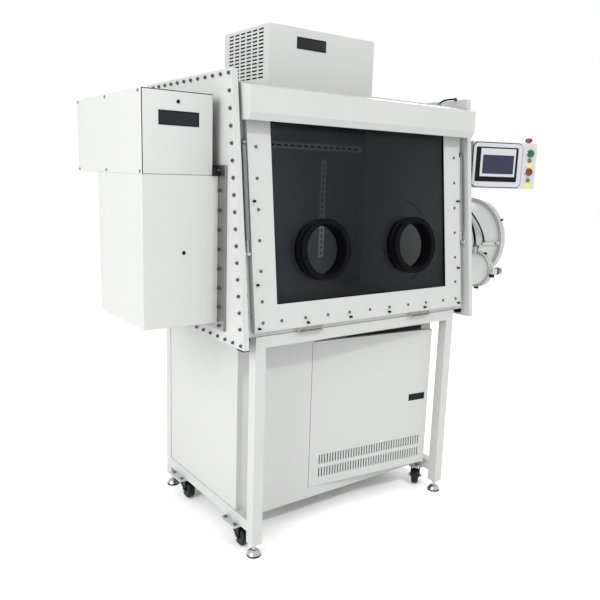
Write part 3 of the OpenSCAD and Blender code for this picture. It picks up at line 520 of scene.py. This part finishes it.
def turned_box(node, turn):
    """Lowest and highest corner of a CAD node in a turned frame."""
    back = turn.inverted()
    return span([back @ v.co for v in frame["nodes"][node].data.vertices])


def window_turn():
    return Matrix.Rotation(-sizes().tilt, 4, "X")


def panel_turn():
    return Matrix.Rotation(-sizes().yaw, 4, "Z")


def stand_point(x, y, z):
    """A point given in millimetres from the middle of the stand's front, on the floor."""
    low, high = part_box("stand_legs")
    return Vector(((low.x + high.x) / 2 + x * MM, low.y + y * MM, z * MM))


class GLOVEBOX_OT_finishes(bpy.types.Operator):
    """Gives every CAD node the finish of its material slot and softens folded edges"""

    bl_idname = "glovebox.finishes"
    bl_label = "Finishes"

    def execute(self, context):
        slots = {s["node"]: s["material_slot"] for s in frame["record"]["subparts"]}
        for name, node in frame["nodes"].items():
            node.data.materials.clear()
            make = OWN_FINISH.get(name, FINISHES[slots[name]])
            node.data.materials.append(make())
        low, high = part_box("chamber_shell")
        for name in ("chamber_shell", "left_side_panel", "right_side_panel"):
            line_with(lining(), name, low, high, Matrix())
        turn = window_turn()
        low, high = turned_box("window_glass", turn)
        for name in ("window_frame", "front_frame"):
            line_with(rubber(), name, low, high, turn)
        for name in SHEET_BOXES:
            soften(frame["nodes"][name])
        return {"FINISHED"}


def line_with(mat, name, low, high, turn):
    """Gives a second finish to the faces of a node that look into a box of a turned frame from its rim."""
    back = turn.inverted()
    mid, margin = (low + high) / 2, 0.006
    node = frame["nodes"][name]
    node.data.materials.append(mat)
    for face in node.data.polygons:
        at, normal = back @ face.center, back.to_3x3() @ face.normal
        beside = all(low[i] - margin < at[i] < high[i] + margin for i in (0, 2))
        inward = normal.dot(mid - at) > 0
        if beside and inward and (turn == Matrix() or abs(normal.y) < 0.1):
            face.material_index = 1


def soften(node):
    """Rounds the sharp edges of a sheet box, as folding leaves them."""
    weld = node.modifiers.new("Weld", "WELD")
    weld.merge_threshold = 1e-5
    flat = node.modifiers.new("Flat faces", "DECIMATE")
    flat.decimate_type = "DISSOLVE"
    flat.angle_limit = math.radians(1)
    bevel = node.modifiers.new("Folded edges", "BEVEL")
    bevel.width = sizes().edge
    bevel.segments = 2
    bevel.limit_method = "ANGLE"
    bevel.angle_limit = math.radians(40)


class GLOVEBOX_OT_flange_nuts(bpy.types.Operator):
    """Nuts and bolt ends on the end flanges; behind the operating panel bolts end flush"""

    bl_idname = "glovebox.flange_nuts"
    bl_label = "Flange nuts"

    def execute(self, context):
        low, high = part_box("end_flanges")
        panel_low, panel_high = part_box("panel_box")
        plate, swing = 0.012, 0.02
        head_r, head_end = 0.0036, 0.0035
        thread_r, thread_end, thread_from, nut_high = 0.0038, 0.006, 0.005, 0.006
        bm = bmesh.new()
        for a, b in islands("flange_bolts"):
            mid = (a + b) / 2
            side = -1 if mid.x < (low.x + high.x) / 2 else 1
            outer = a.x if side < 0 else b.x
            level = panel_low.z - swing < mid.z < panel_high.z + swing
            behind = side > 0 and level and mid.y < panel_high.y
            if not behind:
                disc(bm, (outer, mid.y, mid.z), (side, 0, 0), head_r, head_end, steps=10)
            if side < 0 and mid.x > low.x - 2 * plate:
                at = Vector((low.x + plate, mid.y, mid.z))
                hexagon(bm, at, (1, 0, 0), sizes().nut, nut_high)
                above = at + Vector((thread_from, 0, 0))
                disc(bm, above, (1, 0, 0), thread_r, thread_end, steps=10)
        if not bm.verts:
            raise RuntimeError("no flange bolt was found")
        piece("Flange_nuts", bm, zinc(), "base")
        return {"FINISHED"}


class GLOVEBOX_OT_window_fittings(bpy.types.Operator):
    """Black hold-down screws of the window and the strip round the glass"""

    bl_idname = "glovebox.window_fittings"
    bl_label = "Window fittings"

    def execute(self, context):
        turn = window_turn()
        low, high = turned_box("window_frame", turn)
        mid = (low.x + high.x) / 2
        glass_front = turned_box("window_glass", turn)[0].y
        face = glass_front - sizes().lip
        out = (turn.to_3x3() @ Vector((0, -1, 0))).normalized()
        beside, heights = 0.553, (0.0146, 0.1784, 0.4863)
        along, sill = (-0.327, -0.109, 0.109, 0.327), 0.0154
        spots = [(s * beside, h) for s in (-1, 1) for h in heights]
        spots += [(x, sill) for x in along]
        r = sizes().knob / 2
        bm = bmesh.new()
        for x, h in spots:
            at = turn @ Vector((mid + x, face, low.z + h))
            lathe(
                bm,
                at,
                out,
                [
                    (r * 1.15, 0),
                    (r * 1.15, 0.0015),
                    (r * 0.75, 0.0017),
                    (r * 0.75, 0.005),
                    (r, 0.0055),
                    (r, 0.0115),
                    (r - 0.001, 0.0125),
                    (0, 0.0125),
                ],
                20,
            )
        piece("Window_hold_down_screws", bm, black_plastic(), "window")
        strip, behind_face = 0.0035, 0.0006
        front, back = face + behind_face, glass_front
        half, bottom, top = 0.468, low.z + 0.0988, low.z + 0.779
        bm = bmesh.new()
        for a, b in (
            ((mid - half, front, bottom), (mid - half + strip, back, top)),
            ((mid + half - strip, front, bottom), (mid + half, back, top)),
            ((mid - half, front, bottom), (mid + half, back, bottom + strip)),
            ((mid - half, front, top - strip), (mid + half, back, top)),
        ):
            box_in(bm, a, b, turn=turn)
        piece("Glass_edge_strip", bm, rubber(), "window", smooth=False)
        return {"FINISHED"}


class GLOVEBOX_OT_lamp(bpy.types.Operator):
    """Tube lamp with two sockets under the hood"""

    bl_idname = "glovebox.lamp"
    bl_label = "Hood lamp"

    def execute(self, context):
        low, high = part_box("hood")
        y, z = low.y + 0.03, high.z - 0.055
        reach, cap = 0.54, 0.002
        mid = (low.x + high.x) / 2
        r = sizes().lamp / 2
        bm = bmesh.new()
        tube = [(0, 0), (r, cap), (r, 2 * reach - cap), (0, 2 * reach)]
        lathe(bm, (mid - reach, y, z), (1, 0, 0), tube, 24)
        piece("Lamp_tube", bm, opal(), "base")
        bm = bmesh.new()
        for s in (-1, 1):
            x = mid + s * (reach + 0.008)
            box_in(bm, (x - 0.01, y - 0.016, z - 0.018), (x + 0.01, y + 0.016, high.z - 0.018), 0.002)
        box_in(bm, (mid - reach, y - 0.006, z + 0.016), (mid + reach, y + 0.03, z + 0.028), 0.002)
        piece("Lamp_sockets", bm, white(), "base")
        return {"FINISHED"}


class GLOVEBOX_OT_boxes(bpy.types.Operator):
    """Covers, seams, displays, locks and screws of the control box, freezer and cooling unit"""

    bl_idname = "glovebox.boxes"
    bl_label = "Side and top boxes"

    display = 0.002

    def execute(self, context):
        low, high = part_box("control_box")
        face = low.y + self.display
        bm = bmesh.new()
        inset = 0.001
        box_in(
            bm,
            (low.x + inset, face - 0.0004, low.z + inset),
            (high.x - inset, face + inset, high.z - inset),
        )
        piece("Control_seam", bm, rubber(), "base", smooth=False)
        bm = bmesh.new()
        wide, narrow = 0.004, 0.002
        box_in(
            bm,
            (low.x + wide, face - 0.0014, low.z + narrow),
            (high.x - narrow, face, high.z - wide),
            0.0005,
        )
        piece("Control_cover", bm, white(), "base")
        self.displays()
        lock = stand_point(-806, 0, 1762)
        hole = stand_point(-785, 0, 1235)
        bm = bmesh.new()
        disc(bm, (lock.x, face - 0.001, lock.z), (0, -1, 0), 0.0065, 0.003)
        disc(bm, (hole.x, face, hole.z), (0, -1, 0), 0.0075, 0.001)
        piece("Cover_locks", bm, black_plastic(), "base")
        bm = bmesh.new()
        for y, z in ((155, 1789), (469, 1789), (780, 1789), (146, 1522), (467, 1522), (780, 1522)):
            at = stand_point(0, y, z)
            screw_head(bm, (low.x, at.y, at.z), (-1, 0, 0), 0.0055)
        piece("Cover_screws", bm, zinc(), "base")
        a, b = stand_point(-672, 117, 1513), stand_point(-646, 160, 1541)
        bm = bmesh.new()
        box_in(bm, a, b, 0.001)
        piece("Freezer_bracket", bm, black_steel(), "base")
        return {"FINISHED"}

    def displays(self):
        """Black fronts over the two bare display plates."""
        rim, panes = bmesh.new(), bmesh.new()
        for node, x, z, width, height in (
            ("control_box", 0.062, 0.168, 0.154, 0.049),
            ("cooling_unit", 0.134, 0.165, 0.145, 0.044),
        ):
            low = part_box(node)[0]
            over, inset = 0.0004, 0.004
            a = Vector((low.x + x, low.y, low.z + z))
            b = a + Vector((width, self.display, height))
            box_in(rim, a - Vector((over, over, over)), b + Vector((over, 0, over)), 0.0003)
            box_in(
                panes,
                a + Vector((inset, -2 * over, inset)),
                b + Vector((-inset, -self.display, -inset)),
                0.0002,
            )
        piece("Display_fronts", rim, black_plastic(), "base")
        piece("Display_panes", panes, smoked(), "base")


class GLOVEBOX_OT_vents(bpy.types.Operator):
    """Painted shade: flat black sheets behind the louvres of the cooling unit and the cabinet door, standing
    in for the shade the slots show
    """

    bl_idname = "glovebox.vents"
    bl_label = "Painted vent shade"

    ajar = math.radians(7.1)

    def execute(self, context):
        low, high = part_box("cooling_unit")
        deep, thin, margin = 0.0024, 0.0005, 0.03
        bottom, top = low.z + 0.036, low.z + 0.236
        # Painted shade: a thin black sheet just inside each louvred side of the cooling unit, seen only
        # through the slots
        bm = bmesh.new()
        for x in (low.x + deep, high.x - deep):
            box_in(bm, (x - thin, low.y + margin, bottom), (x + thin, high.y - margin, top))
        piece("Cooling_vent_shade", bm, painted_shade_black(), "base", smooth=False)
        turn = Matrix.Rotation(-self.ajar, 4, "Z")
        low, high = turned_box("cabinet_door", turn)
        # Painted shade: a thin black sheet behind the door's vent slots, standing in for the dark cabinet
        # inside
        bm = bmesh.new()
        box_in(
            bm,
            (low.x + 0.04, low.y + 0.004, low.z + 0.05),
            (high.x - 0.03, low.y + 0.005, low.z + 0.18),
            turn=turn,
        )
        piece("Door_vent_shade", bm, painted_shade_black(), "door", smooth=False)
        return {"FINISHED"}


class GLOVEBOX_OT_rail_slots(bpy.types.Operator):
    """Painted shade: flat black boxes behind the slots of the rails on the back wall, standing in for the
    shade in the channels
    """

    bl_idname = "glovebox.rail_slots"
    bl_label = "Rail slots"

    def execute(self, context):
        edge, skin = 0.002, 0.0002
        # Painted shade: one black box inside each rail, from its middle to just short of its front, seen
        # through the slots
        bm = bmesh.new()
        for low, high in islands("shelf_rails"):
            middle = (low.y + high.y) / 2
            box_in(
                bm,
                (low.x + edge, middle, low.z + edge),
                (high.x - edge, high.y - skin, high.z - edge),
            )
        piece("Rail_slot_shade", bm, painted_shade_black(), "base", smooth=False)
        return {"FINISHED"}


class GLOVEBOX_OT_back_screws(bpy.types.Operator):
    """Screws that hold the back panel of the cabinet between the rear legs"""

    bl_idname = "glovebox.back_screws"
    bl_label = "Back panel screws"

    def execute(self, context):
        sheet, beside_leg, from_rail = 0.004, 0.06, 0.018
        plates = [pair for pair in islands("cabinet_panels") if pair[1].y - pair[0].y < sheet]
        if not plates:
            raise RuntimeError("the cabinet has no back panel")
        low, high = max(plates, key=lambda pair: pair[1].y)
        across = (low.x + beside_leg, (low.x + high.x) / 2, high.x - beside_leg)
        upward = (low.z + from_rail, (low.z + high.z) / 2, high.z - from_rail)
        bm = bmesh.new()
        for x in across:
            for z in upward:
                if (x, z) != (across[1], upward[1]):
                    screw_head(bm, (x, high.y, z), (0, 1, 0), 0.0055)
        piece("Back_screws", bm, zinc(), "base")
        return {"FINISHED"}


class GLOVEBOX_OT_panel_face(bpy.types.Operator):
    """Seal, screen frame, screen, lamps, blank tags and button collars of the operating panel"""

    bl_idname = "glovebox.panel_face"
    bl_label = "Operating panel"

    def execute(self, context):
        turn = panel_turn()
        bezel, corner = turned_box("panel_bezel", turn)
        pane, far = turned_box("panel_screen", turn)
        wide, tall = far.x - pane.x, far.z - pane.z
        seal, proud = 0.0035, 0.0015
        bm = bmesh.new()
        rounded_plate(
            bm,
            (bezel.x - seal, corner.y - proud, bezel.z - seal),
            (corner.x + seal, corner.y, corner.z + seal),
            0.026,
            turn,
        )
        piece("Bezel_seal", bm, rubber(), "panel")
        front = pane.y
        left, bottom, right, top = SCREEN_FRAME_SHARE
        frame_low = (pane.x + left * wide, front - 0.0012, pane.z + bottom * tall)
        frame_high = (pane.x + right * wide, front + 0.0005, pane.z + top * tall)
        bm = bmesh.new()
        rounded_plate(bm, frame_low, frame_high, 0.002, turn)
        piece("Screen_frame", bm, grey_plastic(), "panel")
        left, bottom, right, top = SCREEN_SHARE
        bm = bmesh.new()
        rounded_plate(
            bm,
            (pane.x + left * wide, front - 0.0018, pane.z + bottom * tall),
            (pane.x + right * wide, front - 0.0002, pane.z + top * tall),
            0.001,
            turn,
        )
        piece("Screen", bm, slate(), "panel")
        self.strip(turn, corner.y)
        return {"FINISHED"}

    def strip(self, turn, face):
        """Lamps, blank tags and collars round the buttons."""
        out = (turn.to_3x3() @ Vector((0, -1, 0))).normalized()
        r = sizes().pilot / 2
        gap, rim, tag_half = 0.0004, 0.0014, 0.011
        collars, lamps, tags = bmesh.new(), bmesh.new(), bmesh.new()
        for button, drop in (("start_button", 0.033), ("stop_button", 0.039)):
            low, high = turned_box(button, turn)
            mid = (low + high) / 2
            outer = (high.x - low.x) / 2
            ring(collars, turn @ Vector((mid.x, face, mid.z)), out, outer + gap, outer + gap + rim, 0.003)
            below = mid.z - drop
            disc(lamps, turn @ Vector((mid.x, face, below)), out, r, 0.006)
            rounded_plate(
                tags,
                (mid.x - tag_half, face - 0.0006, below - 0.034),
                (mid.x + tag_half, face + 0.0002, below - 0.009),
                0.001,
                turn,
            )
        low, high = turned_box("emergency_stop", turn)
        mid = (low + high) / 2
        top = turned_box("panel_box", turn)[1].z
        ring(collars, turn @ Vector((mid.x, mid.y, top)), (0, 0, 1), 0.0095, 0.014, 0.0016)
        piece("Button_collars", collars, chrome(), "panel")
        piece("Pilot_lamps", lamps, lens(), "panel")
        piece("Blank_tags", tags, tag_film(), "panel")


class GLOVEBOX_OT_feet(bpy.types.Operator):
    """Rubber rims of the levelling feet, nuts on the caster axles and bolts of the caster plates"""

    bl_idname = "glovebox.feet"
    bl_label = "Feet and casters"

    def execute(self, context):
        rolls = {j["name"]: j for j in frame["record"]["behaviour"]["joints"]}
        for corner in ("fl", "fr", "rl", "rr"):
            low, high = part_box("levelling_foot_" + corner)
            mid = (low + high) / 2
            r = (high.x - low.x) / 2
            bm = bmesh.new()
            ring(bm, (mid.x, mid.y, low.z), (0, 0, 1), r - 0.004, r + 0.0006, 0.0085, 0.0015)
            piece("Foot_rim_" + corner, bm, rubber(), "foot_" + corner)
            roll = rolls["caster_roll_" + corner]
            bm = bmesh.new()
            for s in (-1, 1):
                axis = Vector(roll["axis"]) * s
                at = Vector(roll["pos_m"]) + axis * sizes().fork / 2
                hexagon(bm, at, axis, 0.02, 0.007)
                disc(bm, at + axis * 0.006, axis, 0.0065, 0.005, 0.002, 16)
            piece("Axle_nuts_" + corner, bm, chrome(), "caster_" + corner)
        bm = bmesh.new()
        for low, high in islands("caster_plates"):
            mid = (low + high) / 2
            inset = (high.x - low.x) / 2 - 0.016
            for x in (-inset, inset):
                for y in (-inset, inset):
                    hexagon(bm, (mid.x + x, mid.y + y, high.z - 0.0055), (0, 0, 1), 0.0155, 0.0062)
        piece("Plate_bolts", bm, zinc(), "base")
        return {"FINISHED"}


class GLOVEBOX_OT_hose_ends(bpy.types.Operator):
    """Glands and nuts at the ends of the gas hoses and the roof cable"""

    bl_idname = "glovebox.hose_ends"
    bl_label = "Hose ends"

    def execute(self, context):
        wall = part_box("right_side_panel")[1].x
        bm = bmesh.new()
        found = islands("gas_hoses")
        if len(found) != 3:
            raise RuntimeError("the hoses and the cable should be three solids")
        for low, high in found:
            d = high.y - low.y
            y = (low.y + high.y) / 2
            outside = high.x > wall
            if outside:
                start, along = Vector((low.x, y, high.z - d / 2)), Vector((1, 0, 0))
                end, back = Vector((high.x - d / 2, y, low.z)), Vector((0, 0, 1))
            else:
                start, along = Vector((low.x + d / 2, y, low.z)), Vector((0, 0, 1))
                end, back = Vector((high.x, y, high.z - d / 2)), Vector((-1, 0, 0))
            for at, axis in ((start, along), (end, back)):
                hexagon(bm, at, axis, 2.1 * d, 0.9 * d)
                ring(bm, at + axis * 0.8 * d, axis, 0.4 * d, 0.8 * d, 0.7 * d, 0.001, 20)
        piece("Hose_nuts", bm, zinc(), "base")
        return {"FINISHED"}


class GLOVEBOX_OT_antechamber_fittings(bpy.types.Operator):
    """Purge valve, knobs, gaskets and catches of the antechambers, and the pads under the chamber"""

    bl_idname = "glovebox.antechamber_fittings"
    bl_label = "Antechamber fittings"

    def execute(self, context):
        bm = bmesh.new()
        at = stand_point(886, 160, 1164)
        profile = [(0, 0), (5, 0), (5, 14), (9, 15), (10, 18), (10, 30), (8, 33), (0, 33)]
        lathe(bm, at, (0, 0, 1), [(r * MM, h * MM) for r, h in profile], 24)
        disc(bm, stand_point(1139, 245.5, 1188), (0, -1, 0), 0.005, 0.008, 0.001)
        piece("Purge_valve", bm, zinc(), "base")
        bm = bmesh.new()
        disc(bm, stand_point(1202, 266.5, 1310), (0, -0.866, 0.5), 0.006, 0.013, 0.002)
        piece("Door_knob", bm, black_plastic(), "large_door")
        bm = bmesh.new()
        ring(bm, stand_point(892.2, 160, 1074), (1, 0, 0), 0.081, 0.0928, 0.0016, 0.0003, 64)
        ring(bm, stand_point(1190.2, 465, 1195), (1, 0, 0), 0.21, 0.229, 0.0016, 0.0003, 96)
        piece("Door_gaskets", bm, rubber(), "base")
        bm = bmesh.new()
        box_in(bm, stand_point(879, 42, 1044), stand_point(891, 68, 1061), 0.002)
        piece("Clamp_bracket", bm, black_steel(), "base")
        bm = bmesh.new()
        box_in(bm, stand_point(895, 150, 969), stand_point(911, 170, 984), 0.002)
        box_in(bm, stand_point(895, 112, 1151), stand_point(911, 126, 1163), 0.002)
        piece("Door_catches", bm, black_steel(), "small_door")
        bm = bmesh.new()
        box_in(bm, stand_point(-609, 2, 868), stand_point(-576, 46, 919), 0.002)
        box_in(bm, stand_point(580, 2, 903), stand_point(607, 46, 919), 0.002)
        piece("Chamber_pads", bm, rubber(), "base")
        return {"FINISHED"}


class GLOVEBOX_OT_stage(bpy.types.Operator):
    """Pale floor, soft studio light and the camera"""

    bl_idname = "glovebox.stage"
    bl_label = "Stage"

    def execute(self, context):
        scene = context.scene
        bm = bmesh.new()
        bmesh.ops.create_grid(bm, x_segments=1, y_segments=1, size=FLOOR_REACH)
        mesh = bpy.data.meshes.new("Floor")
        bm.to_mesh(mesh)
        bm.free()
        floor = bpy.data.objects.new("Floor", mesh)
        mesh.materials.append(finish_of("Studio floor", colours().floor, 0.9, shine=0.1))
        scene.collection.objects.link(floor)
        world = bpy.data.worlds.new("Studio")
        scene.world = world
        world.use_nodes = True
        sky = world.node_tree.nodes["Background"]
        sky.inputs["Color"].default_value = (1, 1, 1, 1)
        sky.inputs["Strength"].default_value = 1.0
        for name, power, size, at, to in (
            ("Key", 215, 3.5, (-5.0, -1.3, 3.0), (0, 0, 1.2)),
            ("Front", 315, 0.8, (0.6, -6.8, 7.4), (0, 0, 1.0)),
            ("Back", 150, 3.0, (4.4, 3.4, 3.2), (0, 0, 1.0)),
        ):
            light = bpy.data.lights.new(name, "AREA")
            light.energy = power
            light.size = size
            lamp = bpy.data.objects.new(name, light)
            lamp.location = at
            lamp.rotation_euler = (Vector(to) - Vector(at)).to_track_quat("-Z", "Y").to_euler()
            scene.collection.objects.link(lamp)
        yaw, pitch, roll = (math.radians(turn) for turn in (CAMERA_YAW, CAMERA_PITCH, CAMERA_ROLL))
        level = math.cos(pitch)
        ahead = Vector((math.sin(yaw) * level, math.cos(yaw) * level, math.sin(pitch)))
        right = Vector((math.cos(yaw), -math.sin(yaw), 0))
        up = right.cross(ahead)
        across = right * math.cos(roll) + up * math.sin(roll)
        above = up * math.cos(roll) - right * math.sin(roll)
        optics = bpy.data.cameras.new("Camera")
        optics.lens = CAMERA_LENS
        optics.sensor_width = CAMERA_SENSOR
        optics.clip_end = 100
        camera = bpy.data.objects.new("Camera", optics)
        turn = Matrix((across, above, -ahead)).transposed().to_4x4()
        camera.matrix_world = Matrix.Translation(CAMERA_AT) @ turn
        scene.collection.objects.link(camera)
        scene.camera = camera
        scene.view_settings.view_transform = "Standard"
        return {"FINISHED"}


class GLOVEBOX_PT_panel(bpy.types.Panel):
    bl_label = "Glove box"
    bl_space_type = "VIEW_3D"
    bl_region_type = "UI"
    bl_category = "Glove box"

    def draw(self, context):
        for cls in STEPS:
            self.layout.operator(cls.bl_idname)
        for group in (sizes(), colours()):
            for key in group.__annotations__:
                self.layout.prop(group, key)


STEPS = (
    GLOVEBOX_OT_finishes,
    GLOVEBOX_OT_flange_nuts,
    GLOVEBOX_OT_window_fittings,
    GLOVEBOX_OT_lamp,
    GLOVEBOX_OT_boxes,
    GLOVEBOX_OT_vents,
    GLOVEBOX_OT_rail_slots,
    GLOVEBOX_OT_back_screws,
    GLOVEBOX_OT_panel_face,
    GLOVEBOX_OT_feet,
    GLOVEBOX_OT_hose_ends,
    GLOVEBOX_OT_antechamber_fittings,
    GLOVEBOX_OT_stage,
)
CLASSES = (GloveBoxSizes, GloveBoxColours, *STEPS, GLOVEBOX_PT_panel)


def register():
    for cls in CLASSES:
        bpy.utils.register_class(cls)
    bpy.types.Scene.glove_box_sizes = bpy.props.PointerProperty(type=GloveBoxSizes)
    bpy.types.Scene.glove_box_colours = bpy.props.PointerProperty(type=GloveBoxColours)


def unregister():
    del bpy.types.Scene.glove_box_colours
    del bpy.types.Scene.glove_box_sizes
    for cls in reversed(CLASSES):
        bpy.utils.unregister_class(cls)


def main():
    register()
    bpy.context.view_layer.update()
    for cls in STEPS:
        group, action = cls.bl_idname.split(".")
        getattr(getattr(bpy.ops, group), action)()


if __name__ == "__main__":
    main()
